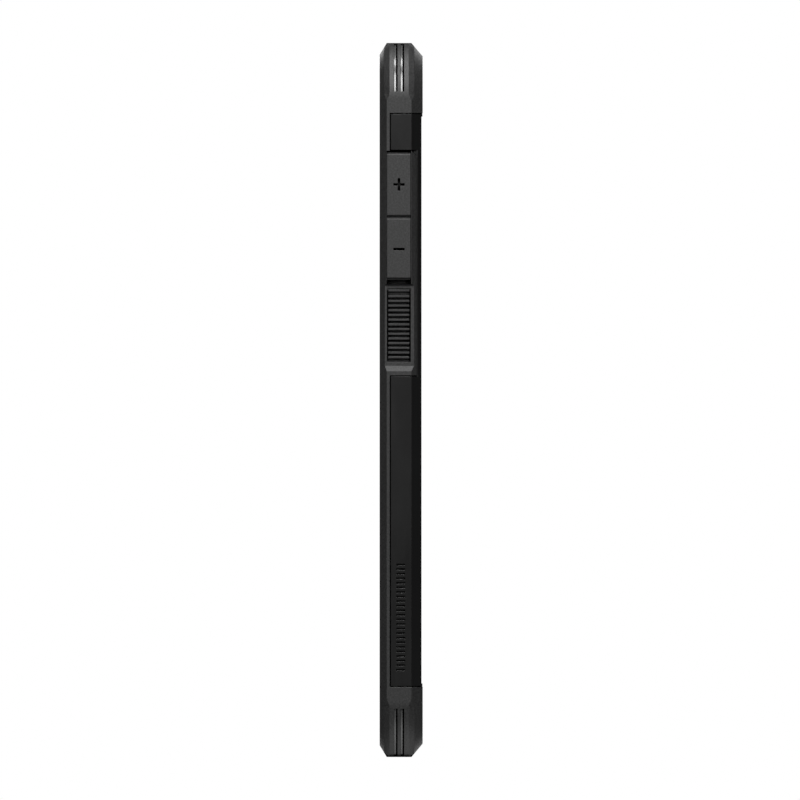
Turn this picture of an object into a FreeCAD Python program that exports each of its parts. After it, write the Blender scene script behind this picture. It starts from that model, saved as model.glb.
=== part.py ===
import FreeCAD, Part
import math
import operator
import os

import Sketcher

# A two-layer protective case for a thin, large phone, in millimetres.
# +Z points to the phone's top edge and +Y to the case's back; the open screen side faces -Y and
# the keys are on the +X wall. The origin is the middle of the face that the phone's back rests on.

DIMENSIONS = (
    ("case_width", 83.5, "outer width"),
    ("case_length", 166.0, "outer length"),
    ("corner_radius", 13.0, "outer corner radius, seen from the back"),
    ("front_face", 7.0, "phone's back to the case's front face"),
    ("back_face", 3.0, "phone's back to the back of the corner bumpers"),
    ("front_bevel_depth", 1.65, "front bevel, measured through the case"),
    ("front_bevel_run", 2.7, "front bevel, measured across the wall"),
    ("back_bevel_depth", 2.6, "back bevel, measured through the case"),
    ("back_bevel_run", 3.1, "back bevel, measured across the wall"),
    ("cavity_width", 75.8, "room for the phone, across"),
    ("cavity_length", 158.4, "room for the phone, along"),
    ("cavity_depth", 5.85, "room for the phone, front to back"),
    ("cavity_radius", 9.0, "corner radius of the phone"),
    ("lip_overhang", 1.0, "reach of the front lip over the screen's edge"),
    ("foam_width", 68.0, "foam liner, across"),
    ("foam_length", 140.0, "foam liner, along"),
    ("foam_thickness", 0.5, "foam liner"),
    ("foam_radius", 6.0, "corner radius of the foam liner"),
    ("soft_back", 1.3, "phone's back to the back of the soft sheet"),
    ("shell_back", 2.72, "phone's back to the back of the hard shell"),
    ("shell_front", 4.4, "phone's back to the front edge of the hard rails"),
    ("rail_thickness", 1.5, "hard rail, across the wall"),
    ("parting_gap", 0.25, "line between the two layers"),
    ("bumper_reach", 16.4, "length of a corner bumper along each side"),
    ("bumper_band", 5.0, "width of a corner bumper on the back"),
    ("corner_bevel_flat", 0.65, "extra bevel at the corners, on the side face"),
    ("corner_bevel_run", 1.0, "extra bevel at the corners, into the front bevel"),
    ("corner_back_run", 0.77, "extra bevel at the corners, into the back bevel"),
    ("corner_bevel_sweep", 82.0, "angle over which the extra bevels have their full width, degrees"),
    ("corner_bevel_start", 0.9, "full width of the extra bevels, past the start of the corner's arc"),
    ("corner_bevel_fade", 1.6, "length over which the extra bevels narrow to a point"),
    ("slot_width", 0.8, "corner slot"),
    ("slot_depth", 1.8, "corner slot"),
    ("slot_pitch", 1.53, "distance between the two slots of a corner"),
    ("slot_first", 3.35, "front face to the first slot"),
    ("slot_sweep", 76.0, "angle of a corner slot, degrees"),
    ("insert_plate", 0.6, "plate of a corner insert, behind the slots"),
    ("insert_skin", 0.25, "soft skin between a slot's floor and the insert's plate"),
    ("insert_margin", 0.5, "plate of a corner insert beyond the slots"),
    ("insert_rib_width", 0.46, "rib of a corner insert, in the front half of its slot"),
    ("insert_rib_rise", 1.65, "rib of a corner insert above its plate"),
    ("insert_gap", 0.03, "gap round a corner insert"),
    ("insert_end_gap", 0.2, "gap at each end of a corner insert, degrees"),
    ("key_front", 5.4, "phone's back to the front edge of the volume keys' slot"),
    ("key_back", 0.3, "phone's back to the back edge of the volume keys' slot"),
    ("key_gap", 0.12, "gap round a volume key"),
    ("key_travel_room", 0.5, "room between a key and the phone's side"),
    ("flange_thickness", 0.9, "inner flange of a key"),
    ("flange_reach", 0.35, "flange beyond the key, front and back"),
    ("volume_low", 28.0, "lower end of the volume keys"),
    ("volume_split", 42.45, "line between the volume keys"),
    ("split_gap", 0.16, "gap between the volume keys"),
    ("volume_high", 57.35, "upper end of the volume keys"),
    ("key_end_bevel", 0.42, "bevel at the ends of the volume keys"),
    ("keys_top", 57.8, "upper end of the key zone"),
    ("end_gap_depth", 1.6, "depth of the gaps above and below the volume keys"),
    ("keys_bottom", 5.7, "lower end of the key zone"),
    ("web_high", 26.9, "lower end of the gap below the volume keys"),
    ("cover_reach", 1.45, "width of the soft cover over the back bevel beside the keys"),
    ("cover_clip", 1.6, "clipped upper corner of that cover"),
    ("mark_depth", 0.3, "sunk side marks"),
    ("sign_sink", 0.9, "depth of the plus and minus signs"),
    ("plus_height", 2.9, "plus sign, along"),
    ("plus_width", 2.6, "plus and minus signs, across"),
    ("sign_stroke", 0.55, "stroke of the plus and minus signs"),
    ("tick_width", 0.42, "width of a tick of the side mark"),
    ("plus_centre", 50.0, "height of the plus sign"),
    ("minus_centre", 35.0, "height of the minus sign"),
    ("sign_depth", 2.5, "phone's back to the middle of the signs"),
    ("power_sink", 0.7, "depth of the power key's recess in the side face"),
    ("power_low", 8.8, "lower end of the power key's slot"),
    ("power_high", 25.9, "upper end of the power key's slot"),
    ("power_front", 5.28, "phone's back to the front edge of the power key's slot"),
    ("power_back", 0.2, "phone's back to the back edge of the power key's slot"),
    ("power_gap", 0.3, "gap round the power key"),
    ("recess_low", 7.9, "lower end of the power key's recess"),
    ("recess_slope", 1.2, "length of the recess's lower slope"),
    ("recess_high", 26.6, "upper end of the power key's recess"),
    ("ridge_top", 25.42, "height of the bar above the ridges"),
    ("ridge_first", 24.06, "height of the uppermost ridge"),
    ("ridge_pitch", 1.09, "distance between ridges"),
    ("ridge_root", 0.80, "ridge at its root"),
    ("ridge_crest", 0.46, "ridge at its crest"),
    ("ridge_height", 0.6, "ridge above the key's floor"),
    ("ridge_sink", 0.05, "crests below the frame round the key"),
    ("camera_across", 24.0, "camera window, across"),
    ("camera_along", 40.0, "camera window, along"),
    ("camera_x", 22.0, "camera window's middle, across"),
    ("camera_z", 53.5, "camera window's middle, along"),
    ("camera_collar", 1.6, "width of the soft collar round the camera window"),
    ("port_width", 13.5, "charging port opening"),
    ("port_height", 5.4, "charging port opening"),
    ("port_depth", 2.9, "phone's back to the middle of the port"),
    ("speaker_width", 13.0, "speaker opening"),
    ("speaker_height", 2.0, "speaker opening"),
    ("speaker_x", 18.5, "speaker opening's middle"),
    ("microphone_size", 1.8, "microphone opening"),
    ("microphone_x", 12.5, "microphone opening's middle"),
    ("leg_length", 34.9, "stand leg, from hinge to tip"),
    ("leg_width", 44.0, "stand leg, along its hinge"),
    ("leg_thickness", 1.1, "stand leg"),
    ("leg_back", 2.7, "phone's back to the outer face of the leg"),
    ("leg_corner", 2.0, "corner radius of the leg's tip"),
    ("leg_gap", 0.3, "gap round the leg"),
    ("leg_z", -36.0, "middle of the leg, along the case"),
    ("hinge_x", 2.0, "hinge line, across the case"),
    ("hinge_y", 1.95, "hinge line, behind the phone's back"),
    ("barrel_radius", 0.75, "hinge barrel of the leg"),
    ("pin_radius", 0.4, "hinge pin"),
    ("pin_clearance", 0.05, "running clearance of the pin in the barrel"),
    ("pin_seat", 3.0, "length of the pin held by the shell at each end"),
    ("pin_end_gap", 0.1, "gap at each end of the pin"),
    ("notch_width", 13.0, "finger notch at the leg's tip, along the tip"),
    ("notch_length", 9.1, "finger notch at the leg's tip, across the tip"),
    ("notch_radius", 3.9, "corner radius of the finger notch"),
    ("notch_depth", 0.8, "finger notch at the leg's tip"),
    ("groove_depth", 0.3, "grip grooves on the leg"),
    ("groove_width", 0.6, "grip grooves on the leg"),
    ("groove_pitch", 1.5, "distance between the grip grooves"),
    ("tick_first", -38.0, "uppermost tick of the side mark"),
    ("tick_pitch", 1.06, "distance between ticks"),
    ("tick_front", 3.1, "phone's back to the front end of a tick"),
    ("tick_back", 1.1, "phone's back to the back end of a tick"),
)
RIDGE_COUNT = 14
TICK_COUNT = 24
GRIP_GROOVE_COUNT = 4
OUTSIDE = 2.0  # how far a cut reaches past the surface that it opens
SLIVER = 0.01  # overlap that keeps two cuts, or two arcs, from just touching
SHORT_CUT = OUTSIDE / 4  # the same as OUTSIDE, where the next surface is near

OPERATIONS = {"+": operator.add, "-": operator.sub, "*": operator.mul, "/": operator.truediv}


class Size:
    """A length that carries its number and the sheet expression that it comes from."""

    def __init__(self, number, text):
        self.number = number
        self.text = text

    def __add__(self, other):
        return combine(self, "+", other)

    def __radd__(self, other):
        return combine(other, "+", self)

    def __sub__(self, other):
        return combine(self, "-", other)

    def __rsub__(self, other):
        return combine(other, "-", self)

    def __mul__(self, other):
        return combine(self, "*", other)

    def __rmul__(self, other):
        return combine(other, "*", self)

    def __truediv__(self, other):
        return combine(self, "/", other)

    def __neg__(self):
        return combine(0, "-", self)


def as_size(value):
    return value if isinstance(value, Size) else Size(float(value), str(value))


def combine(left, sign, right):
    left, right = as_size(left), as_size(right)
    number = OPERATIONS[sign](left.number, right.number)
    return Size(number, f"({left.text} {sign} {right.text})")


doc = FreeCAD.newDocument("phone_case")
sheet = doc.addObject("Spreadsheet::Sheet", "dims")
dim = {}
for row, (alias, number, meaning) in enumerate(DIMENSIONS, start=1):
    sheet.set(f"A{row}", meaning)
    sheet.set(f"B{row}", str(number))
    sheet.setAlias(f"B{row}", alias)
    dim[alias] = Size(number, f"dims.{alias}")
doc.recompute()

half_width = dim["case_width"] / 2
half_length = dim["case_length"] / 2
side_front = -dim["front_face"] + dim["front_bevel_depth"]
side_back = dim["back_face"] - dim["back_bevel_depth"]
corner_x = half_width - dim["corner_radius"]
corner_z = half_length - dim["corner_radius"]


# ---------------------------------------------------------------- sketch and feature helpers

def bind(feature, name, size):
    feature.setExpression(name, as_size(size).text)


def new_body(label):
    body = doc.addObject("PartDesign::Body", label)
    body.Label = label
    return body


def new_sketch(body, name, role, offset, turn=0.0):
    """An empty sketch on one of the body's origin planes, moved by offset (Sizes along the
    sketch's own x and y and its normal) and turned, in degrees, about its own y."""
    plane = next(item for item in body.Origin.OriginFeatures if item.Role == role)
    sketch = body.newObject("Sketcher::SketchObject", name)
    sketch.AttachmentSupport = [(plane, "")]
    sketch.MapMode = "FlatFace"
    rotation = FreeCAD.Rotation(FreeCAD.Vector(0, 1, 0), turn)
    base = FreeCAD.Vector(*(as_size(part).number for part in offset))
    sketch.AttachmentOffset = FreeCAD.Placement(base, rotation)
    for letter, part in zip("xyz", offset):
        bind(sketch, f"AttachmentOffset.Base.{letter}", part)
    return sketch


def bind_constraints(sketch, named):
    """Add each (name, constraint, size) to the sketch and bind it to the sheet."""
    for name, constraint, size in named:
        index = sketch.addConstraint(constraint)
        sketch.renameConstraint(index, name)
        bind(sketch, f"Constraints.{name}", size)


def add_rounded_outline(sketch, width, length, radius):
    """A rounded rectangle centred on the sketch's origin."""
    wide, high, arc = width.number / 2, length.number / 2, radius.number
    quarter = math.pi / 2
    straight_x, straight_y = wide - arc, high - arc

    def line(start, end):
        return Part.LineSegment(FreeCAD.Vector(*start, 0), FreeCAD.Vector(*end, 0))

    def corner(centre, first_quarter):
        circle = Part.Circle(FreeCAD.Vector(*centre, 0), FreeCAD.Vector(0, 0, 1), arc)
        return Part.ArcOfCircle(circle, first_quarter * quarter, (first_quarter + 1) * quarter)

    sketch.addGeometry([
        line((-straight_x, high), (straight_x, high)),
        corner((straight_x, straight_y), 0),
        line((wide, straight_y), (wide, -straight_y)),
        corner((straight_x, -straight_y), 3),
        line((straight_x, -high), (-straight_x, -high)),
        corner((-straight_x, -straight_y), 2),
        line((-wide, -straight_y), (-wide, straight_y)),
        corner((-straight_x, straight_y), 1),
    ], False)
    rules = []
    for side in range(0, 8, 2):
        rules.append(Sketcher.Constraint("Tangent", side, 2, side + 1, 2))
        rules.append(Sketcher.Constraint("Tangent", side + 1, 1, (side + 2) % 8, 1))
        rules.append(Sketcher.Constraint("Horizontal" if side % 4 == 0 else "Vertical", side))
    for other in (3, 5, 7):
        rules.append(Sketcher.Constraint("Equal", 1, other))
    rules.append(Sketcher.Constraint("Symmetric", 0, 1, 4, 1, -1, 1))
    sketch.addConstraint(rules)
    bind_constraints(sketch, (
        ("radius", Sketcher.Constraint("Radius", 1, radius.number), radius),
        ("width", Sketcher.Constraint("DistanceX", 6, 1, 2, 1, width.number), width),
        ("length", Sketcher.Constraint("DistanceY", 4, 1, 0, 1, length.number), length),
    ))


def add_polygon(sketch, points):
    """A closed polygon whose corners are pairs of positive Sizes from the sketch's origin."""
    corners = [FreeCAD.Vector(x.number, y.number, 0) for x, y in points]
    count = len(corners)
    first = sketch.GeometryCount
    for index in range(count):
        edge = Part.LineSegment(corners[index], corners[(index + 1) % count])
        sketch.addGeometry(edge, False)
    for index in range(count):
        follower = first + (index + 1) % count
        sketch.addConstraint(Sketcher.Constraint("Coincident", first + index, 2, follower, 1))
    for index, (x, y) in enumerate(points):
        edge = first + index
        bind_constraints(sketch, (
            (f"across_{edge}", Sketcher.Constraint("DistanceX", -1, 1, edge, 1, x.number), x),
            (f"along_{edge}", Sketcher.Constraint("DistanceY", -1, 1, edge, 1, y.number), y),
        ))


def outline(body, name, level, width, length, radius, centre=(0, 0)):
    """A rounded rectangle in the plane y = level, centred at (x, z)."""
    sketch = new_sketch(body, name, "XZ_Plane", (centre[0], centre[1], -as_size(level)))
    add_rounded_outline(sketch, width, length, radius)
    return sketch


def extrude(body, kind, name, sketch, length, to_back=True):
    """A Pad or Pocket of a sketch, towards +Y or towards -Y (or +Z, for a sketch seen from +Z)."""
    feature = body.newObject(f"PartDesign::{kind}", name)
    feature.Profile = sketch
    feature.Reversed = to_back if kind == "Pad" else not to_back
    bind(feature, "Length", length)
    sketch.Visibility = False
    return feature


def slab(body, kind, name, low, high, width, length, radius, centre=(0, 0)):
    """A rounded rectangle from y = low to y = high, added (Pad) or cut (Pocket)."""
    sketch = outline(body, name + "_outline", low, width, length, radius, centre)
    return extrude(body, kind, name, sketch, as_size(high) - low)


def taper(body, name, low, low_inset, high, high_inset):
    """The case's outline lofted from one level to another, with a different inset at each."""
    sections = []
    for end, level, inset in (("low", low, low_inset), ("high", high, high_inset)):
        inset = as_size(inset)
        sections.append(outline(body, f"{name}_{end}", level, dim["case_width"] - 2 * inset,
                                dim["case_length"] - 2 * inset, dim["corner_radius"] - inset))
    loft = body.newObject("PartDesign::AdditiveLoft", name)
    loft.Profile = sections[0]
    loft.Sections = [sections[1]]
    loft.Ruled = True


def box(body, kind, name, x_span, y_span, z_span):
    """A box added (Additive) or cut (Subtractive) between the given limits."""
    feature = body.newObject(f"PartDesign::{kind}Box", name)
    spans = zip(("Length", "Width", "Height"), "xyz", (x_span, y_span, z_span))
    for size, letter, (low, high) in spans:
        bind(feature, size, as_size(high) - low)
        bind(feature, f"Placement.Base.{letter}", low)
    return feature


def rod(body, kind, name, radius, length, middle):
    """A cylinder along Z, added or cut, centred at middle."""
    feature = body.newObject(f"PartDesign::{kind}Cylinder", name)
    bind(feature, "Radius", radius)
    bind(feature, "Height", length)
    bind(feature, "Placement.Base.x", middle[0])
    bind(feature, "Placement.Base.y", middle[1])
    bind(feature, "Placement.Base.z", as_size(middle[2]) - as_size(length) / 2)
    return feature


def edges_on(feature, test):
    """Names of the feature's edges whose two ends both pass the test."""
    edges = enumerate(feature.Shape.Edges, start=1)
    return [f"Edge{i}" for i, edge in edges if all(test(v.Point) for v in edge.Vertexes)]


def near(value, target):
    return math.isclose(value, as_size(target).number, abs_tol=SLIVER / 100)


# ---------------------------------------------------------------- shapes shared by both layers

SIDES = ((1, 1), (1, -1), (-1, 1), (-1, -1))
CORNERS = ("top_right", "bottom_right", "top_left", "bottom_left")
bumper_z = half_length - dim["bumper_reach"]
bumper_x = half_width - dim["bumper_reach"]
rail_x = half_width - dim["rail_thickness"]
rail_z = half_length - dim["rail_thickness"]
beyond_x = half_width + OUTSIDE
beyond_z = half_length + OUTSIDE
cover_x = half_width - dim["cover_reach"]
camera = (dim["camera_x"], dim["camera_z"])


def side_openings(body):
    """Openings through the lower edge for the port, speaker and microphone, and one at the top."""
    cuts = (
        ("port", 0, dim["port_width"], dim["port_height"], -1),
        ("speaker", -dim["speaker_x"], dim["speaker_width"], dim["speaker_height"], -1),
        ("microphone", dim["microphone_x"], dim["microphone_size"], dim["microphone_size"], -1),
        ("top_microphone", -dim["microphone_x"], dim["microphone_size"], dim["microphone_size"], 1),
    )
    for name, x, width, height, end in cuts:
        edge = end * half_length + OUTSIDE * end
        sketch = new_sketch(body, f"{name}_outline", "XY_Plane", (x, -dim["port_depth"], edge))
        add_rounded_outline(sketch, width, height, height / 2 - SLIVER)
        cut = extrude(body, "Pocket", f"{name}_opening", sketch,
                      half_length - dim["cavity_length"] / 2 + 2 * OUTSIDE)
        cut.Reversed = end < 0


# ---------------------------------------------------------------- soft inner body

def make_soft_inner_body():
    body = new_body("soft_moulding")
    taper(body, "front_bevel", -dim["front_face"], dim["front_bevel_run"], side_front, 0)
    slab(body, "Pad", "wall", side_front, side_back,
         dim["case_width"], dim["case_length"], dim["corner_radius"])
    taper(body, "back_bevel", side_back, 0, dim["back_face"], dim["back_bevel_run"])

    slab(body, "Pocket", "phone_cavity", -dim["cavity_depth"], 0,
         dim["cavity_width"], dim["cavity_length"], dim["cavity_radius"])
    slab(body, "Pocket", "screen_opening", -dim["front_face"] - OUTSIDE, -dim["cavity_depth"],
         dim["cavity_width"] - 2 * dim["lip_overhang"],
         dim["cavity_length"] - 2 * dim["lip_overhang"],
         dim["cavity_radius"] - dim["lip_overhang"])
    slab(body, "Pocket", "foam_recess", 0, dim["foam_thickness"],
         dim["foam_width"], dim["foam_length"], dim["foam_radius"])

    # room for the hard shell: its plate between the bumpers, then its rails down the sides
    plate = (dim["soft_back"], dim["back_face"] + OUTSIDE)
    rail = (-dim["shell_front"] - dim["parting_gap"], dim["soft_back"])
    band = dim["bumper_band"]
    slab(body, "Pocket", "plate_room", *plate, dim["case_width"] - 2 * band,
         dim["case_length"] - 2 * band, dim["corner_radius"] - band)
    runs = (("upper_right", dim["keys_top"], bumper_z), ("lower_right", -bumper_z, dim["keys_bottom"]))
    for name, low, high in runs:
        box(body, "Subtractive", f"{name}_plate_room",
            (half_width - band, beyond_x), plate, (low, high))
        box(body, "Subtractive", f"{name}_rail_room", (rail_x, beyond_x), rail, (low, high))
    box(body, "Subtractive", "key_zone_plate_room", (half_width - band, cover_x), plate,
        (dim["keys_bottom"], dim["keys_top"]))
    box(body, "Subtractive", "left_plate_room",
        (-beyond_x, band - half_width), plate, (-bumper_z, bumper_z))
    box(body, "Subtractive", "left_rail_room", (-beyond_x, -rail_x), rail, (-bumper_z, bumper_z))
    for name, inner, outer in (("top", 1, 1), ("bottom", -1, -1)):
        plate_span = sorted_span(inner * (half_length - band), outer * beyond_z)
        rail_span = sorted_span(inner * rail_z, outer * beyond_z)
        box(body, "Subtractive", f"{name}_plate_room", (-bumper_x, bumper_x), plate, plate_span)
        box(body, "Subtractive", f"{name}_rail_room", (-bumper_x, bumper_x), rail, rail_span)

    collar = dim["camera_collar"]
    window_radius = dim["camera_across"] / 2 - SLIVER
    slab(body, "Pad", "camera_collar", dim["soft_back"], dim["shell_back"],
         dim["camera_across"] + 2 * collar, dim["camera_along"] + 2 * collar,
         window_radius + collar, camera)
    slab(body, "Pocket", "camera_window", -SHORT_CUT, dim["back_face"] + OUTSIDE,
         dim["camera_across"], dim["camera_along"], window_radius, camera)

    barrel_room = dim["barrel_radius"] + dim["leg_gap"]
    leg_room = dim["leg_width"] / 2 + dim["leg_gap"]
    box(body, "Subtractive", "hinge_room", (dim["hinge_x"] - barrel_room, dim["hinge_x"] + barrel_room),
        (dim["hinge_y"] - barrel_room, dim["soft_back"] + OUTSIDE),
        (dim["leg_z"] - leg_room, dim["leg_z"] + leg_room))

    cut_key_slots(body)
    side_openings(body)
    cut_corners(body)
    trimmed = doc.addObject("Part::Cut", "soft_inner_body")
    trimmed.Label = "soft_inner_body"
    trimmed.Base = body
    trimmed.Tool = fading_bevel_cutters()
    return trimmed


def sorted_span(one, other):
    one, other = as_size(one), as_size(other)
    return (one, other) if one.number < other.number else (other, one)


def cut_key_slots(body):
    """Slots through the +X wall for the keys, with room behind the wall for their flanges,
    and the shallower cuts round them."""
    gap = dim["key_gap"]
    reach = dim["flange_reach"] + gap
    flange_outer = (dim["cavity_width"] / 2 + dim["key_travel_room"]
                    + dim["flange_thickness"] + 2 * gap)
    inner_x = dim["cavity_width"] / 2 - SHORT_CUT
    volume = (dim["volume_low"] - gap, dim["volume_high"] + gap)
    power = (dim["power_low"], dim["power_high"])
    volume_y = (-dim["key_front"], dim["key_back"])
    power_y = (-dim["power_front"], dim["power_back"])
    for name, y_span, z_span in (("volume", volume_y, volume), ("power", power_y, power)):
        box(body, "Subtractive", f"{name}_slot", (inner_x, beyond_x), y_span, z_span)
        box(body, "Subtractive", f"{name}_flange_room", (inner_x, flange_outer),
            (y_span[0] - reach, y_span[1] + reach), z_span)

    # the side face is sunk round the power key
    sunk_x = half_width - dim["power_sink"]
    origin = (0, 0, dim["front_face"] + OUTSIDE)
    sketch = new_sketch(body, "power_recess_outline", "XZ_Plane", origin)
    fall = dim["recess_slope"] / dim["power_sink"]
    rise = (dim["web_high"] - dim["recess_high"]) / dim["power_sink"]
    add_polygon(sketch, (
        (sunk_x, dim["recess_low"]),
        (half_width + SHORT_CUT, dim["recess_low"] - dim["recess_slope"] - SHORT_CUT * fall),
        (half_width + SHORT_CUT, dim["web_high"] + SHORT_CUT * rise),
        (sunk_x, dim["recess_high"]),
    ))
    extrude(body, "Pocket", "power_recess", sketch, dim["front_face"] + dim["back_face"] + 2 * OUTSIDE)
    clip = dim["cover_clip"]
    front = dim["front_face"]
    sketch = new_sketch(body, "cover_clip_outline", "YZ_Plane", (-front, 0, beyond_x))
    add_polygon(sketch, (
        (front + side_back, dim["keys_top"] + SLIVER),
        (front + side_back + clip, dim["keys_top"] + SLIVER),
        (front + side_back + clip, dim["keys_top"] - clip),
    ))
    extrude(body, "Pocket", "cover_clip_cut", sketch, OUTSIDE + dim["cover_reach"], to_back=True)
    blind = (half_width - dim["end_gap_depth"], beyond_x)
    box(body, "Subtractive", "upper_end_gap", blind, volume_y,
        (dim["volume_high"], dim["keys_top"] + SLIVER))
    box(body, "Subtractive", "lower_end_gap", blind, volume_y, (dim["web_high"], dim["volume_low"]))


def cut_corners(body):
    """Extra bevels and two slots that run round each corner."""
    outer = dim["corner_radius"] + SHORT_CUT
    front_edge = dim["front_bevel_depth"]
    back_edge = dim["front_face"] + side_back
    front_slope = dim["front_bevel_depth"] / dim["front_bevel_run"]
    back_slope = dim["back_bevel_depth"] / dim["back_bevel_run"]
    flat = dim["corner_bevel_flat"]
    for number, (side_x, side_z) in enumerate(SIDES, start=1):
        turn = -math.degrees(math.atan2(side_z, side_x))
        place = (side_x * corner_x, -dim["front_face"], side_z * corner_z)
        bevels = new_sketch(body, f"corner_{number}_bevels", "XY_Plane", place, turn)
        run = dim["corner_bevel_run"]
        steep = (flat + front_slope * run) / run
        add_polygon(bevels, (
            (dim["corner_radius"], front_edge + flat),
            (dim["corner_radius"] - run, front_edge - front_slope * run),
            (outer, front_edge - front_slope * run),
            (outer, front_edge + flat + steep * SHORT_CUT),
        ))
        run = dim["corner_back_run"]
        steep = (flat + back_slope * run) / run
        add_polygon(bevels, (
            (dim["corner_radius"], back_edge - flat),
            (dim["corner_radius"] - run, back_edge + back_slope * run),
            (outer, back_edge + back_slope * run),
            (outer, back_edge - flat - steep * SHORT_CUT),
        ))
        sweep_round(body, "Groove", f"corner_{number}_bevel_cut", bevels, dim["corner_bevel_sweep"])
        slots = new_sketch(body, f"corner_{number}_slots", "XY_Plane", place, turn)
        floor = dim["corner_radius"] - dim["slot_depth"]
        for low in slot_starts():
            high = low + dim["slot_width"]
            add_polygon(slots, ((floor, low), (outer, low), (outer, high), (floor, high)))
        sweep_round(body, "Groove", f"corner_{number}_slot_cut", slots, dim["slot_sweep"])
        room = new_sketch(body, f"corner_{number}_insert_room", "XY_Plane", place, turn)
        add_polygon(room, comb(0, floor + SLIVER))
        sweep_round(body, "Groove", f"corner_{number}_insert_cut", room, dim["slot_sweep"])


def slot_starts():
    """Distances from the front face to the two slots of a corner."""
    return dim["slot_first"], dim["slot_first"] + dim["slot_pitch"]


def insert_reach():
    """Front and back ends of a corner insert's plate, from the front face."""
    first, second = slot_starts()
    return first - dim["insert_margin"], second + dim["slot_width"] + dim["insert_margin"]


def comb(gap, crest):
    """Section of a corner insert: a plate, and a rib in the front half of each slot."""
    plate_top = dim["corner_radius"] - dim["slot_depth"] - dim["insert_skin"] - gap
    plate_floor = plate_top - dim["insert_plate"] + 2 * as_size(gap)
    low, high = insert_reach()
    points = [(plate_floor, low + gap), (plate_top, low + gap)]
    for start in slot_starts():
        end = start + dim["insert_rib_width"] - gap
        points += [(plate_top, start + gap), (crest, start + gap), (crest, end), (plate_top, end)]
    return points + [(plate_top, high - gap), (plate_floor, high - gap)]


def sweep_round(body, kind, name, sketch, sweep):
    """Turn a sketch about its own y axis, the same angle to each side of its plane."""
    feature = body.newObject(f"PartDesign::{kind}", name)
    feature.Profile = sketch
    feature.ReferenceAxis = (sketch, ["V_Axis"])
    feature.Midplane = True
    bind(feature, "Angle", sweep)


def fading_bevel_cutters():
    """Small pyramids that narrow the extra corner bevels to a point on each straight side."""
    flat = dim["corner_bevel_flat"].number
    sides = (
        (half_width, corner_z, lambda out, y, along: (out, y, along)),
        (half_length, corner_x, lambda out, y, along: (along, y, out)),
    )
    edges = (
        (side_front.number, 1, dim["corner_bevel_run"].number,
         dim["front_bevel_depth"].number / dim["front_bevel_run"].number),
        (side_back.number, -1, dim["corner_back_run"].number,
         dim["back_bevel_depth"].number / dim["back_bevel_run"].number),
    )
    solids = []
    for side, arc_start, place in sides:
        full = arc_start.number + dim["corner_bevel_start"].number
        point = full - dim["corner_bevel_fade"].number
        for edge, inward, run, slope in edges:
            out = side.number
            corners = (
                (out, edge, point),
                (out, edge + inward * flat, full),
                (out - run, edge - inward * slope * run, full),
                (out + run, edge - inward * flat, full),
            )
            for sign_x, sign_z in SIDES:
                placed = [place(*corner) for corner in corners]
                solids.append(pyramid([
                    FreeCAD.Vector(sign_x * x, y, sign_z * z) for x, y, z in placed
                ]))
    cutters = doc.addObject("Part::Feature", "fading_bevels")
    cutters.Shape = Part.makeCompound(solids)
    return cutters


def pyramid(corners):
    """A solid with four triangular faces."""
    faces = []
    for skipped in range(4):
        triangle = [corner for index, corner in enumerate(corners) if index != skipped]
        faces.append(Part.Face(Part.makePolygon(triangle + triangle[:1])))
    solid = Part.Solid(Part.Shell(faces))
    if solid.Volume < 0:
        solid.reverse()
    return solid


# ---------------------------------------------------------------- corner inserts

def make_corner_insert(label, side_x, side_z):
    """A curved hard plate behind a corner's slots, with one rib standing in each slot."""
    body = new_body(label)
    turn = -math.degrees(math.atan2(side_z, side_x))
    place = (side_x * corner_x, -dim["front_face"], side_z * corner_z)
    sketch = new_sketch(body, "comb_outline", "XY_Plane", place, turn)
    plate_top = dim["corner_radius"] - dim["slot_depth"] - dim["insert_skin"] - dim["insert_gap"]
    add_polygon(sketch, comb(dim["insert_gap"], plate_top + dim["insert_rib_rise"]))
    sweep_round(body, "Revolution", "comb", sketch, dim["slot_sweep"] - 2 * dim["insert_end_gap"])
    return body


# ---------------------------------------------------------------- hard outer shell

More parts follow.
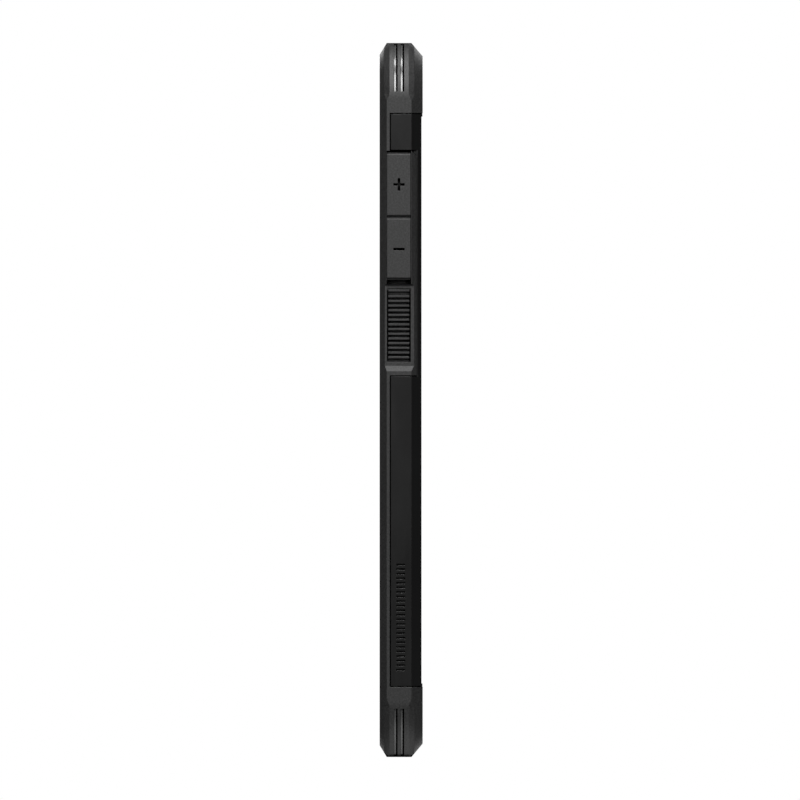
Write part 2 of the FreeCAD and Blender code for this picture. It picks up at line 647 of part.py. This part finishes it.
def make_hard_outer_shell():
    body = new_body("hard_outer_shell")
    rise = (dim["shell_back"] - side_back) / dim["back_bevel_depth"]
    slab(body, "Pad", "wall", -dim["shell_front"], side_back,
         dim["case_width"], dim["case_length"], dim["corner_radius"])
    taper(body, "back_bevel", side_back, 0, dim["shell_back"], dim["back_bevel_run"] * rise)
    slab(body, "Pocket", "soft_body_room", -dim["shell_front"] - OUTSIDE, dim["soft_back"],
         dim["case_width"] - 2 * dim["rail_thickness"],
         dim["case_length"] - 2 * dim["rail_thickness"],
         dim["corner_radius"] - dim["rail_thickness"])

    gap = dim["parting_gap"]
    depth = (-dim["shell_front"] - OUTSIDE, dim["shell_back"] + OUTSIDE)
    for number, (side_x, side_z) in enumerate(SIDES, start=1):
        box(body, "Subtractive", f"corner_{number}_room",
            sorted_span(side_x * (bumper_x - gap), side_x * beyond_x), depth,
            sorted_span(side_z * (bumper_z - gap), side_z * beyond_z))
    inset = dim["bumper_band"] + gap
    slab(body, "Pad", "plate", dim["soft_back"], dim["shell_back"], dim["case_width"] - 2 * inset,
         dim["case_length"] - 2 * inset, dim["corner_radius"] - inset)
    box(body, "Subtractive", "key_zone", (cover_x - gap, beyond_x), depth,
        (dim["keys_bottom"] - gap, dim["keys_top"] + gap))

    rim = dim["camera_collar"] + gap
    slab(body, "Pocket", "camera_window", dim["soft_back"] - SHORT_CUT, dim["shell_back"] + OUTSIDE,
         dim["camera_across"] + 2 * rim, dim["camera_along"] + 2 * rim,
         dim["camera_across"] / 2 - SLIVER + rim, camera)

    # the stand: a window for the leg, seats for its pin and a finger notch at its tip
    room = dim["leg_gap"]
    tip = dim["hinge_x"] - dim["leg_length"] - room
    root = dim["hinge_x"] + dim["barrel_radius"] + room
    slab(body, "Pocket", "leg_window", dim["soft_back"] - SHORT_CUT, dim["shell_back"] + OUTSIDE,
         root - tip, dim["leg_width"] + 2 * room, dim["leg_corner"] + room / 2,
         ((root + tip) / 2, dim["leg_z"]))
    box(body, "Subtractive", "leg_window_root", (root - 2 * dim["leg_corner"], root),
        (dim["soft_back"] - SHORT_CUT, dim["shell_back"] + OUTSIDE),
        (dim["leg_z"] - dim["leg_width"] / 2 - room, dim["leg_z"] + dim["leg_width"] / 2 + room))
    pin_length = dim["leg_width"] + 2 * room + 2 * dim["pin_seat"]
    rod(body, "Subtractive", "pin_seats", dim["pin_radius"], pin_length,
        (dim["hinge_x"], dim["hinge_y"], dim["leg_z"]))
    box(body, "Subtractive", "pin_way_in",
        (dim["hinge_x"] - dim["pin_radius"], dim["hinge_x"] + dim["pin_radius"]),
        (dim["soft_back"] - SHORT_CUT, dim["hinge_y"]),
        (dim["leg_z"] - pin_length / 2, dim["leg_z"] + pin_length / 2))
    notch = outline(body, "finger_notch_outline", dim["shell_back"] - dim["notch_depth"],
                    dim["notch_length"], dim["notch_width"], dim["notch_radius"],
                    (tip, dim["leg_z"]))
    extrude(body, "Pocket", "finger_notch", notch, dim["notch_depth"] + OUTSIDE)

    side_openings(body)
    for number in range(TICK_COUNT):
        high = dim["tick_first"] - number * dim["tick_pitch"]
        box(body, "Subtractive", f"tick_{number + 1}", (half_width - dim["mark_depth"], beyond_x),
            (-dim["tick_front"], -dim["tick_back"]), (high - dim["tick_width"], high))
    return body


# ---------------------------------------------------------------- foam liner

def make_impact_foam_liner():
    body = new_body("impact_foam_liner")
    gap = dim["parting_gap"]
    slab(body, "Pad", "sheet", 0, dim["foam_thickness"], dim["foam_width"] - 2 * gap,
         dim["foam_length"] - 2 * gap, dim["foam_radius"] - gap)
    margin = dim["camera_collar"]
    slab(body, "Pocket", "camera_window", -SHORT_CUT, dim["foam_thickness"] + OUTSIDE,
         dim["camera_across"] + 2 * margin, dim["camera_along"] + 2 * margin,
         dim["camera_across"] / 2 - SLIVER + margin, camera)
    return body


# ---------------------------------------------------------------- keys

def key_block(body, y_span, z_span, outer_x):
    """The key's head in its slot and the wider flange behind the wall that keeps it in."""
    inner_x = dim["cavity_width"] / 2 + dim["key_travel_room"]
    neck_x = inner_x + dim["flange_thickness"]
    reach = dim["flange_reach"]
    box(body, "Additive", "head", (inner_x, outer_x), y_span, z_span)
    return box(body, "Additive", "flange", (inner_x, neck_x),
               (y_span[0] - reach, y_span[1] + reach), z_span)


def make_volume_key(label, z_span, sign_z, has_upright):
    body = new_body(label)
    gap = dim["key_gap"]
    y_span = (-dim["key_front"] + gap, dim["key_back"] - gap)
    flange = key_block(body, y_span, z_span, half_width)
    ends = [as_size(end) for end in z_span]

    def on_outer_end(point):
        return near(point.x, half_width) and any(near(point.z, end) for end in ends)

    doc.recompute()
    chamfer = body.newObject("PartDesign::Chamfer", "end_bevels")
    chamfer.Base = (flange, [
        name for name in edges_on(flange, on_outer_end)
        if near(abs(flange.Shape.getElement(name).tangentAt(0).y), 1)
    ])
    bind(chamfer, "Size", dim["key_end_bevel"])

    sunk = (half_width - dim["sign_sink"], beyond_x)
    middle = -dim["sign_depth"]
    stroke = dim["sign_stroke"] / 2
    box(body, "Subtractive", "sign_bar", sunk,
        (middle - dim["plus_width"] / 2, middle + dim["plus_width"] / 2),
        (sign_z - stroke, sign_z + stroke))
    if has_upright:
        box(body, "Subtractive", "sign_upright", sunk, (middle - stroke, middle + stroke),
            (sign_z - dim["plus_height"] / 2, sign_z + dim["plus_height"] / 2))
    return body


def make_power_key():
    body = new_body("power_key")
    gap = dim["power_gap"]
    crest_x = half_width - dim["power_sink"] - dim["ridge_sink"]
    floor_x = crest_x - dim["ridge_height"]
    y_span = (-dim["power_front"] + gap, dim["power_back"] - gap)
    z_span = (dim["power_low"] + gap, dim["power_high"] - gap)
    key_block(body, y_span, z_span, floor_x)
    sketch = new_sketch(body, "ridges_outline", "XZ_Plane", (0, 0, -y_span[0]))
    crest = dim["ridge_crest"] / 2
    root = dim["ridge_root"] / 2
    ridges = [dim["ridge_first"] - number * dim["ridge_pitch"] for number in range(RIDGE_COUNT)]
    for middle in [dim["ridge_top"], *ridges]:
        add_polygon(sketch, (
            (floor_x, middle - root),
            (crest_x, middle - crest),
            (crest_x, middle + crest),
            (floor_x, middle + root),
        ))
    extrude(body, "Pad", "ridges", sketch, y_span[1] - y_span[0])
    return body


# ---------------------------------------------------------------- fold-out stand

def make_kickstand_leg():
    body = new_body("kickstand_leg")
    low, high = dim["leg_back"] - dim["leg_thickness"], dim["leg_back"]
    tip = dim["hinge_x"] - dim["leg_length"]
    ends = (dim["leg_z"] - dim["leg_width"] / 2, dim["leg_z"] + dim["leg_width"] / 2)
    slab(body, "Pad", "plate", low, high, dim["leg_length"], dim["leg_width"], dim["leg_corner"],
         (tip + dim["leg_length"] / 2, dim["leg_z"]))
    # the plate's hinge end is square and merges into the barrel
    box(body, "Additive", "root", (dim["hinge_x"] - 2 * dim["leg_corner"], dim["hinge_x"]),
        (low, high), ends)
    middle = (dim["hinge_x"], dim["hinge_y"], dim["leg_z"])
    rod(body, "Additive", "barrel", dim["barrel_radius"], dim["leg_width"], middle)
    rod(body, "Subtractive", "pin_hole", dim["pin_radius"] + dim["pin_clearance"],
        dim["leg_width"] + OUTSIDE, middle)
    for number in range(GRIP_GROOVE_COUNT):
        start = tip + dim["leg_corner"] + number * dim["groove_pitch"]
        box(body, "Subtractive", f"grip_groove_{number + 1}", (start, start + dim["groove_width"]),
            (high - dim["groove_depth"], high + OUTSIDE),
            (dim["leg_z"] - dim["notch_width"] / 2, dim["leg_z"] + dim["notch_width"] / 2))
    return body


def make_kickstand_pin():
    body = new_body("kickstand_pin")
    length = dim["leg_width"] + 2 * dim["leg_gap"] + 2 * (dim["pin_seat"] - dim["pin_end_gap"])
    rod(body, "Additive", "rod", dim["pin_radius"], length,
        (dim["hinge_x"], dim["hinge_y"], dim["leg_z"]))
    return body


# ---------------------------------------------------------------- build, check and write

split = dim["volume_split"]
half_split = dim["split_gap"] / 2
parts = [
    make_soft_inner_body(),
    make_hard_outer_shell(),
    make_impact_foam_liner(),
    *(make_corner_insert(f"corner_insert_{name}", *side) for name, side in zip(CORNERS, SIDES)),
    make_volume_key("volume_up_key", (split + half_split, dim["volume_high"]),
                    dim["plus_centre"], True),
    make_volume_key("volume_down_key", (dim["volume_low"], split - half_split),
                    dim["minus_centre"], False),
    make_power_key(),
    make_kickstand_leg(),
    make_kickstand_pin(),
]
doc.recompute()

for item in doc.Objects:
    if "Invalid" in item.State or "Error" in item.State:
        raise RuntimeError(f"{item.Name} failed: {item.State}")
for part in parts:
    shape = part.Shape
    if shape.isNull() or not shape.isValid() or len(shape.Solids) != 1:
        raise RuntimeError(f"{part.Label} is not one valid solid")

os.makedirs("parts", exist_ok=True)
for part in parts:
    part.Shape.exportStep(f"parts/{part.Label}.step")
    box_size = part.Shape.BoundBox
    print(f"{part.Label}: volume {part.Shape.Volume:.1f} mm3, box "
          f"x {box_size.XMin:.2f}..{box_size.XMax:.2f}, y {box_size.YMin:.2f}..{box_size.YMax:.2f}, "
          f"z {box_size.ZMin:.2f}..{box_size.ZMax:.2f}")
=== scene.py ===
import math

import bmesh
import bpy
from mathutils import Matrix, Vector


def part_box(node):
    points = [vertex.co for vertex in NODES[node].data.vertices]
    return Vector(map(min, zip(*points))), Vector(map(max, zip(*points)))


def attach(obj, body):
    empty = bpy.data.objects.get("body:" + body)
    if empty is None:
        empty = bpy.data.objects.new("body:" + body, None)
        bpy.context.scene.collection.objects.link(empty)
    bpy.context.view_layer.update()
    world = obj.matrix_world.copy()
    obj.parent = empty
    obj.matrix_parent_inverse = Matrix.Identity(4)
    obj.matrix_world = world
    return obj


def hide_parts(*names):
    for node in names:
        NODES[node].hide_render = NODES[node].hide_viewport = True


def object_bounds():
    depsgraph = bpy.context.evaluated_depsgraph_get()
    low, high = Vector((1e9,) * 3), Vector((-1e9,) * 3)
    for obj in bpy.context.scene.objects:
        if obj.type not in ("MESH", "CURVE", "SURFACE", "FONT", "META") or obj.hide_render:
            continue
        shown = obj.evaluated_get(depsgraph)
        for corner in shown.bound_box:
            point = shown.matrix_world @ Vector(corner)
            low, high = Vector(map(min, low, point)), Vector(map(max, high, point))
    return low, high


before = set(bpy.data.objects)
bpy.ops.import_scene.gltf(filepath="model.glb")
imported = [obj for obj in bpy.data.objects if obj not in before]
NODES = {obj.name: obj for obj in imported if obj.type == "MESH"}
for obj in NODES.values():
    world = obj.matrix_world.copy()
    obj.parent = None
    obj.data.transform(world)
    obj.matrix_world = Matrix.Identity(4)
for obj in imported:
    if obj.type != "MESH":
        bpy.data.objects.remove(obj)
cad_low, cad_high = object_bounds()

MM = 0.001

# sockets of a colour Mix node, whose names are shared by its other data types
MIX_FIRST, MIX_SECOND, MIX_RESULT = 6, 7, 2
BEVEL_SAMPLES = 6
# painted shade: the settings below paint narrow gaps dark in colour and specular level
CREVICE_SAMPLES = 8
CREVICE_REACH = 1.6 * MM  # gaps narrower than about this go dark
CREVICE_SHUT = 0.36  # open share of the sky below which a point is black
CREVICE_CLEAR = 0.72  # open share of the sky above which a point keeps its look


# ---------------------------------------------------------------- node helpers

class Nodes:
    """A small builder for one material's node tree."""

    def __init__(self, name):
        self.material = bpy.data.materials.new(name)
        self.material.use_nodes = True
        self.tree = self.material.node_tree
        self.shader = self.tree.nodes["Principled BSDF"]
        self.place = self.add("ShaderNodeTexCoord").outputs["Object"]

    def add(self, kind, **values):
        node = self.tree.nodes.new(kind)
        for key, value in values.items():
            setattr(node, key, value)
        return node

    def link(self, source, target):
        self.tree.links.new(source, target)

    def set(self, **values):
        """Constants on the shader's own sockets; underscores stand for spaces."""
        for key, value in values.items():
            self.shader.inputs[key.replace("_", " ")].default_value = value

    def stretched(self, scale):
        mapping = self.add("ShaderNodeMapping")
        mapping.inputs["Scale"].default_value = scale
        self.link(self.place, mapping.inputs["Vector"])
        return mapping.outputs["Vector"]

    def noise(self, scale, detail=2.0, roughness=0.5, vector=None):
        node = self.add("ShaderNodeTexNoise")
        for key, number in (("Scale", scale), ("Detail", detail), ("Roughness", roughness)):
            node.inputs[key].default_value = number
        self.link(self.place if vector is None else vector, node.inputs["Vector"])
        return node.outputs["Fac"]

    def cells(self, scale):
        node = self.add("ShaderNodeTexVoronoi")
        node.inputs["Scale"].default_value = scale
        self.link(self.place, node.inputs["Vector"])
        return node.outputs["Distance"]

    def remap(self, value, low, high, from_low=0.3, from_high=0.7):
        node = self.add("ShaderNodeMapRange")
        for key, number in (("From Min", from_low), ("From Max", from_high),
                            ("To Min", low), ("To Max", high)):
            node.inputs[key].default_value = number
        self.link(value, node.inputs["Value"])
        return node.outputs["Result"]

    def ramp(self, value, stops):
        node = self.add("ShaderNodeValToRGB")
        band = node.color_ramp
        while len(band.elements) < len(stops):
            band.elements.new(0.5)
        for element, (position, colour) in zip(band.elements, stops):
            element.position = position
            element.color = (*colour, 1.0)
        self.link(value, node.inputs["Fac"])
        return node.outputs["Color"]

    def math(self, operation, *values):
        node = self.add("ShaderNodeMath", operation=operation)
        for socket, value in zip(node.inputs, values):
            if isinstance(value, (int, float)):
                socket.default_value = value
            else:
                self.link(value, socket)
        return node.outputs[0]

    def mix(self, factor, first, second):
        node = self.add("ShaderNodeMix", data_type="RGBA")
        for key, value in (("Factor", factor), (MIX_FIRST, first), (MIX_SECOND, second)):
            socket = node.inputs[key]
            if isinstance(value, tuple):
                socket.default_value = (*value, 1.0)
            else:
                self.link(value, socket)
        return node.outputs[MIX_RESULT]

    def rounded_normal(self, radius):
        """A normal that rounds the edges by a moulding radius, and how near an edge a point is."""
        bevel = self.add("ShaderNodeBevel", samples=BEVEL_SAMPLES)
        bevel.inputs["Radius"].default_value = radius
        geometry = self.add("ShaderNodeNewGeometry")
        facing = self.add("ShaderNodeVectorMath", operation="DOT_PRODUCT")
        self.link(bevel.outputs["Normal"], facing.inputs[0])
        self.link(geometry.outputs["Normal"], facing.inputs[1])
        edge = self.remap(facing.outputs["Value"], 1.0, 0.0, 0.75, 1.0)
        return bevel.outputs["Normal"], edge

    def paint_gap_shade(self, colour, specular):
        """Painted shade: the colour and specular level, both fading to nearly nothing deep in
        narrow gaps.
        """
        crevice = self.add("ShaderNodeAmbientOcclusion", samples=CREVICE_SAMPLES)
        crevice.inputs["Distance"].default_value = CREVICE_REACH
        clear_sky = self.remap(crevice.outputs["AO"], 0.0, 1.0, CREVICE_SHUT, CREVICE_CLEAR)
        self.link(self.math("MULTIPLY", clear_sky, specular),
                  self.shader.inputs["Specular IOR Level"])
        return self.mix(clear_sky, grey(0.0005), colour)

    def bump(self, height, distance, strength=1.0, normal=None):
        node = self.add("ShaderNodeBump")
        node.inputs["Strength"].default_value = strength
        node.inputs["Distance"].default_value = distance
        self.link(height, node.inputs["Height"])
        if normal is not None:
            self.link(normal, node.inputs["Normal"])
        return node.outputs["Normal"]

    def finish(self, colour, roughness, normal):
        self.link(colour, self.shader.inputs["Base Color"])
        self.link(roughness, self.shader.inputs["Roughness"])
        self.link(normal, self.shader.inputs["Normal"])
        return self.material


def grey(value):
    return (value, value, value)


# ---------------------------------------------------------------- materials

def soft_plastic():
    """Sandblasted black TPU: a fine speckled grain, with edges painted lighter, partly as handling
    wear and partly as painted highlight, and painted shade in narrow gaps.
    """
    make = Nodes("soft_tpu")
    fine = make.noise(5200, detail=3.0, roughness=0.6)
    coarse = make.noise(2300, detail=3.0, roughness=0.6)
    cloud = make.noise(38, detail=3.0)
    rounded, edge = make.rounded_normal(0.16 * MM)
    grain = make.math("ADD", make.math("MULTIPLY", fine, 0.5), make.math("MULTIPLY", coarse, 0.5))
    speckle = make.ramp(grain, ((0.38, grey(0.013)), (0.50, grey(0.027)), (0.63, grey(0.050))))
    # edges painted lighter: partly handling wear, partly painted highlight
    edge_wear_and_highlight = make.mix(make.math("MULTIPLY", edge, 0.45), speckle, grey(0.085))
    rough = make.math("ADD", make.remap(cloud, -0.03, 0.03), make.remap(fine, 0.50, 0.60))
    normal = make.bump(grain, 0.045 * MM, 0.55, rounded)
    make.set(IOR=1.5)
    # painted shade in narrow gaps
    return make.finish(make.paint_gap_shade(edge_wear_and_highlight, 0.75), rough, normal)


def hard_plastic():
    """Smooth satin polycarbonate: faint orange peel, a few handling marks in the gloss."""
    make = Nodes("hard_pc")
    peel = make.noise(420, detail=2.0)
    cloud = make.noise(30, detail=4.0, roughness=0.65)
    scuffs = make.noise(150, detail=6.0, roughness=0.75, vector=make.stretched((1.0, 1.0, 0.18)))
    rounded, edge = make.rounded_normal(0.10 * MM)
    tone = make.ramp(cloud, ((0.35, grey(0.0052)), (0.65, grey(0.0068))))
    # edges painted lighter: partly wear, partly painted highlight
    edge_wear_and_highlight = make.mix(make.math("MULTIPLY", edge, 0.25), tone, grey(0.030))
    rough = make.math("ADD", make.remap(scuffs, 0.36, 0.44, 0.45, 0.75),
                      make.remap(cloud, -0.02, 0.02))
    normal = make.bump(peel, 0.020 * MM, 0.10, rounded)
    make.set(IOR=1.55)
    # painted shade in narrow gaps
    return make.finish(make.paint_gap_shade(edge_wear_and_highlight, 0.5), rough, normal)


def foam():
    """Closed-cell impact foam: small cells, dull and a little fuzzy."""
    make = Nodes("impact_foam")
    cells = make.cells(1900)
    fine = make.noise(4200, detail=2.0)
    cloud = make.noise(45, detail=3.0)
    rounded, edge = make.rounded_normal(0.15 * MM)
    tone = make.ramp(cells, ((0.10, grey(0.016)), (0.45, grey(0.036)), (0.75, grey(0.050))))
    tone = make.mix(make.remap(cloud, 0.0, 0.35), tone, grey(0.045))
    rough = make.remap(fine, 0.82, 0.95)
    normal = make.bump(cells, 0.10 * MM, 0.7, make.bump(fine, 0.03 * MM, 0.4, rounded))
    make.set(Sheen_Weight=0.12, Sheen_Roughness=0.5)
    return make.finish(make.mix(make.math("MULTIPLY", edge, 0.3), tone, grey(0.06)), rough, normal)


def insert_plastic():
    """Polished mid-grey insert that shows in the corner slots."""
    make = Nodes("corner_insert_grey")
    flow = make.noise(300, detail=1.0)
    cloud = make.noise(60, detail=2.0)
    rounded, edge = make.rounded_normal(0.04 * MM)
    tone = make.ramp(cloud, ((0.35, grey(0.18)), (0.65, grey(0.21))))
    rough = make.remap(cloud, 0.24, 0.27)
    normal = make.bump(flow, 0.01 * MM, 0.05, rounded)
    make.set(Metallic=0.5)
    return make.finish(make.mix(make.math("MULTIPLY", edge, 0.2), tone, grey(0.30)), rough, normal)


def coated_metal():
    """Black satin coating on the stand's leg: a powdery orange peel, brighter along the edges,
    partly as worn coating and partly as painted highlight.
    """
    make = Nodes("stand_coating")
    peel = make.noise(1100, detail=3.0, roughness=0.6)
    cloud = make.noise(35, detail=3.0)
    rounded, edge = make.rounded_normal(0.14 * MM)
    tone = make.ramp(cloud, ((0.35, grey(0.021)), (0.65, grey(0.027))))
    # edges painted lighter: partly worn coating, partly painted highlight
    edge_wear_and_highlight = make.mix(make.math("MULTIPLY", edge, 0.4), tone, grey(0.10))
    rough = make.math("ADD", make.remap(peel, 0.38, 0.46), make.remap(cloud, -0.02, 0.02))
    normal = make.bump(peel, 0.03 * MM, 0.35, rounded)
    make.set(Metallic=0.15)
    return make.finish(edge_wear_and_highlight, rough, normal)


def drawn_steel():
    """The hinge pin: bright wire with fine lines along its length."""
    make = Nodes("drawn_steel")
    lines = make.noise(3000, detail=2.0, vector=make.stretched((1.0, 1.0, 0.03)))
    cloud = make.noise(120, detail=2.0)
    tone = make.ramp(cloud, ((0.35, grey(0.42)), (0.65, grey(0.52))))
    rough = make.remap(lines, 0.22, 0.34)
    normal = make.bump(lines, 0.008 * MM, 0.5)
    make.set(Metallic=1.0)
    return make.finish(tone, rough, normal)


SOFT, HARD, FOAM = soft_plastic(), hard_plastic(), foam()
INSERT, COATING, STEEL = insert_plastic(), coated_metal(), drawn_steel()


def paint(node, material):
    mesh = NODES[node].data
    mesh.materials.clear()
    mesh.materials.append(material)


for material, names in (
    (SOFT, ("soft_inner_body", "volume_up_key", "volume_down_key", "power_key")),
    (HARD, ("hard_outer_shell",)),
    (INSERT, [name for name in NODES if name.startswith("corner_insert")]),
    (COATING, ("kickstand_leg",)),
    (STEEL, ("kickstand_pin",)),
):
    for name in names:
        paint(name, material)


# ---------------------------------------------------------------- embossed foam liner

FOAM_CORNER = 5.75 * MM
WINDOW_CENTRE = (22.0 * MM, 53.5 * MM)
WINDOW_SIZE = (27.2 * MM, 43.2 * MM)
WINDOW_CORNER = WINDOW_SIZE[0] / 2
JUST_UNDER = 0.01 * MM  # keeps the window's two half-circles from meeting in one point
SHEET_FRONT = 0.55  # front face of the flat sheet, as a share of the liner's depth
TILE_PITCH = 4.2 * MM
TILE_RADIUS = 2.1 * MM
TILE_MARGIN = 0.5 * MM
TILE_PROFILE = ((0.62, 1.0), (0.26, 0.97), (0.08, 0.90), (0.0, 0.78))  # depth and radius, as shares


def outside_by(point, size, radius):
    """How far a point lies outside a centred rounded rectangle; negative inside it."""
    past = [abs(at) - (full / 2 - radius) for at, full in zip(point, size)]
    from_corner = math.hypot(*(max(part, 0.0) for part in past))
    return from_corner + min(max(past), 0.0) - radius


def rounded_loop(size, radius, centre=(0.0, 0.0), steps=16):
    """Points round a rounded rectangle."""
    points = []
    for quarter, (sign_x, sign_z) in enumerate(((1, 1), (-1, 1), (-1, -1), (1, -1))):
        for step in range(steps + 1):
            angle = math.radians(90) * (quarter + step / steps)
            points.append((centre[0] + sign_x * (size[0] / 2 - radius) + radius * math.cos(angle),
                           centre[1] + sign_z * (size[1] / 2 - radius) + radius * math.sin(angle)))
    return points


def flat_sheet(mesh, loops, front, back):
    """A flat sheet in the XZ plane with holes, filled from closed loops and given a thickness."""
    edges = [
        mesh.edges.new((start, end))
        for loop in loops
        for start, end in ring_pairs([mesh.verts.new((x, back, z)) for x, z in loop])
    ]
    faces = [item for item in bmesh.ops.triangle_fill(mesh, edges=edges, use_beauty=True)["geom"]
             if isinstance(item, bmesh.types.BMFace)]
    grown = bmesh.ops.extrude_face_region(mesh, geom=faces, use_keep_orig=True)
    moved = [item for item in grown["geom"] if isinstance(item, bmesh.types.BMVert)]
    bmesh.ops.translate(mesh, verts=moved, vec=(0, front - back, 0))


def ring_pairs(ring):
    return zip(ring, ring[1:] + ring[:1])


def cell_tile(mesh, x, z, levels):
    """A six-sided foam cell: rings of (height, radius) from its root to its softly rounded top."""
    rings = []
    for y, radius in levels:
        corners = (math.radians(60 * turn + 30) for turn in range(6))
        rings.append([
            mesh.verts.new((x + radius * math.cos(a), y, z + radius * math.sin(a))) for a in corners
        ])
    for lower, upper in zip(rings, rings[1:]):
        for (a, b), (c, d) in zip(ring_pairs(lower), ring_pairs(upper)):
            mesh.faces.new((a, b, d, c))
    mesh.faces.new(rings[-1])
    mesh.faces.new(rings[0][::-1])


def cell_centres(size):
    """Centres of the cells that fit between the sheet's edge and the camera window."""
    clear = TILE_RADIUS + TILE_MARGIN
    row_step = TILE_PITCH * math.sqrt(3) / 2
    rows = int(size[1] / 2 / row_step)
    columns = int(size[0] / 2 / TILE_PITCH) + 1
    for row in range(-rows, rows + 1):
        for column in range(-columns, columns + 1):
            x = (column + (row % 2) / 2) * TILE_PITCH
            z = row * row_step
            from_window = (x - WINDOW_CENTRE[0], z - WINDOW_CENTRE[1])
            on_sheet = outside_by((x, z), size, FOAM_CORNER) < -clear
            if on_sheet and outside_by(from_window, WINDOW_SIZE, WINDOW_CORNER) > clear:
                yield x, z


def foam_liner():
    """The foam sheet, embossed with six-sided cells on the side that touches the phone."""
    low, high = (Vector(corner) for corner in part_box("impact_foam_liner"))
    size = (high.x - low.x, high.z - low.z)
    depth = high.y - low.y
    levels = [(low.y + share * depth, width * TILE_RADIUS) for share, width in TILE_PROFILE]
    mesh = bmesh.new()
    window = rounded_loop(WINDOW_SIZE, WINDOW_CORNER - JUST_UNDER, WINDOW_CENTRE)
    sheet = rounded_loop(size, FOAM_CORNER)
    flat_sheet(mesh, [sheet, window], low.y + SHEET_FRONT * depth, high.y)
    for x, z in cell_centres(size):
        cell_tile(mesh, x, z, levels)
    bmesh.ops.recalc_face_normals(mesh, faces=mesh.faces)
    data = bpy.data.meshes.new("impact_foam")
    mesh.to_mesh(data)
    mesh.free()
    data.materials.append(FOAM)
    piece = bpy.data.objects.new("impact_foam", data)
    bpy.context.scene.collection.objects.link(piece)
    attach(piece, "case")
    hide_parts("impact_foam_liner")


foam_liner()


# ---------------------------------------------------------------- floor, light and camera

centre = (cad_low + cad_high) / 2
FLOOR_SIZE = 8.0
FLOOR_GAP = 0.5 * MM  # floor below the case
# painted bounce light: the floor itself glows onto the case, more beside a lower corner
BOUNCE_NEAR, BOUNCE_FAR = 0.75, 0.12  # light from the floor beside a lower corner, and elsewhere
BOUNCE_START, BOUNCE_END = 3 * MM, 14 * MM  # distances over which the one fades to the other
WORLD_LIGHT = 0.02
SOFTBOXES = (  # name, place in metres, width, height, watts
    ("front_box", (0.62, 0.0, 0.50), 0.50, 0.50, 5.0),
    ("overhead", (0.12, 0.0, 0.90), 0.60, 0.25, 3.6),
    ("back_fill", (-1.50, 0.85, 0.05), 0.40, 0.40, 48.0),
    ("screen_fill", (-1.60, -0.62, 0.05), 0.40, 0.40, 24.0),
)
LENS, SENSOR = 1200.0, 36.0
VIEW_MARGIN = 1.120448  # height of the view, in heights of the case
VIEW_PLANE_DEPTH = 13 * MM  # how far behind the key side the view has exactly that height
CAMERA_SHIFT = 0.27 * MM  # towards the screen side


def seen_or_lit(tree, kind, lit, output):
    """Plain white to the camera, but only as much light as `lit` on the object."""
    rays = tree.nodes.new("ShaderNodeLightPath")
    choose = tree.nodes.new("ShaderNodeMixShader")
    tree.links.new(rays.outputs["Is Camera Ray"], choose.inputs["Fac"])
    glow, seen = (tree.nodes.new(kind) for _ in range(2))
    for source in (glow, seen):
        source.inputs["Color"].default_value = (1, 1, 1, 1)
    seen.inputs["Strength"].default_value = 1.0
    if isinstance(lit, float):
        glow.inputs["Strength"].default_value = lit
    else:
        tree.links.new(lit, glow.inputs["Strength"])
    tree.links.new(glow.outputs[0], choose.inputs[1])
    tree.links.new(seen.outputs[0], choose.inputs[2])
    tree.links.new(choose.outputs[0], output.inputs["Surface"])


def floor():
    """A pale floor just under the case; it glows as painted bounce light onto the case, more
    strongly beside the two lower corners.
    """
    bpy.ops.mesh.primitive_plane_add(size=FLOOR_SIZE, location=(0, 0, cad_low.z - FLOOR_GAP))
    plane = bpy.context.object
    plane.name = "studio_floor"
    make = Nodes("studio_floor")
    either_side = make.add("ShaderNodeVectorMath", operation="ABSOLUTE")
    make.link(make.place, either_side.inputs[0])
    away = make.add("ShaderNodeVectorMath", operation="DISTANCE")
    make.link(either_side.outputs[0], away.inputs[0])
    away.inputs[1].default_value = (cad_high.x, 0, 0)
    painted_bounce_glow = make.remap(away.outputs["Value"], BOUNCE_NEAR, BOUNCE_FAR, BOUNCE_START, BOUNCE_END)
    seen_or_lit(make.tree, "ShaderNodeEmission", painted_bounce_glow, make.tree.nodes["Material Output"])
    plane.data.materials.append(make.material)


def softbox(name, place, width, height, power):
    """A rectangular light that faces the middle of the case."""
    light = bpy.data.lights.new(name, "AREA")
    light.shape = "RECTANGLE"
    light.size = width
    light.size_y = height
    light.energy = power
    lamp = bpy.data.objects.new(name, light)
    bpy.context.scene.collection.objects.link(lamp)
    lamp.location = place
    lamp.rotation_euler = (centre - Vector(place)).to_track_quat("-Z", "Y").to_euler()


def studio_light():
    for values in SOFTBOXES:
        softbox(*values)
    world = bpy.data.worlds.new("studio")
    bpy.context.scene.world = world
    world.use_nodes = True
    output = world.node_tree.nodes["World Output"]
    seen_or_lit(world.node_tree, "ShaderNodeBackground", WORLD_LIGHT, output)


def long_lens_camera():
    """Straight at the key side, from far enough to look almost parallel."""
    camera_data = bpy.data.cameras.new("camera")
    camera_data.lens = LENS
    camera_data.sensor_width = SENSOR
    camera = bpy.data.objects.new("camera", camera_data)
    bpy.context.scene.collection.objects.link(camera)
    view_height = (cad_high - cad_low).z * VIEW_MARGIN
    distance = view_height * LENS / SENSOR
    camera.location = (cad_high.x - VIEW_PLANE_DEPTH + distance, centre.y - CAMERA_SHIFT, centre.z)
    camera.rotation_euler = (math.radians(90), 0, math.radians(90))
    bpy.context.scene.camera = camera


floor()
studio_light()
long_lens_camera()
bpy.context.scene.view_settings.view_transform = "Standard"
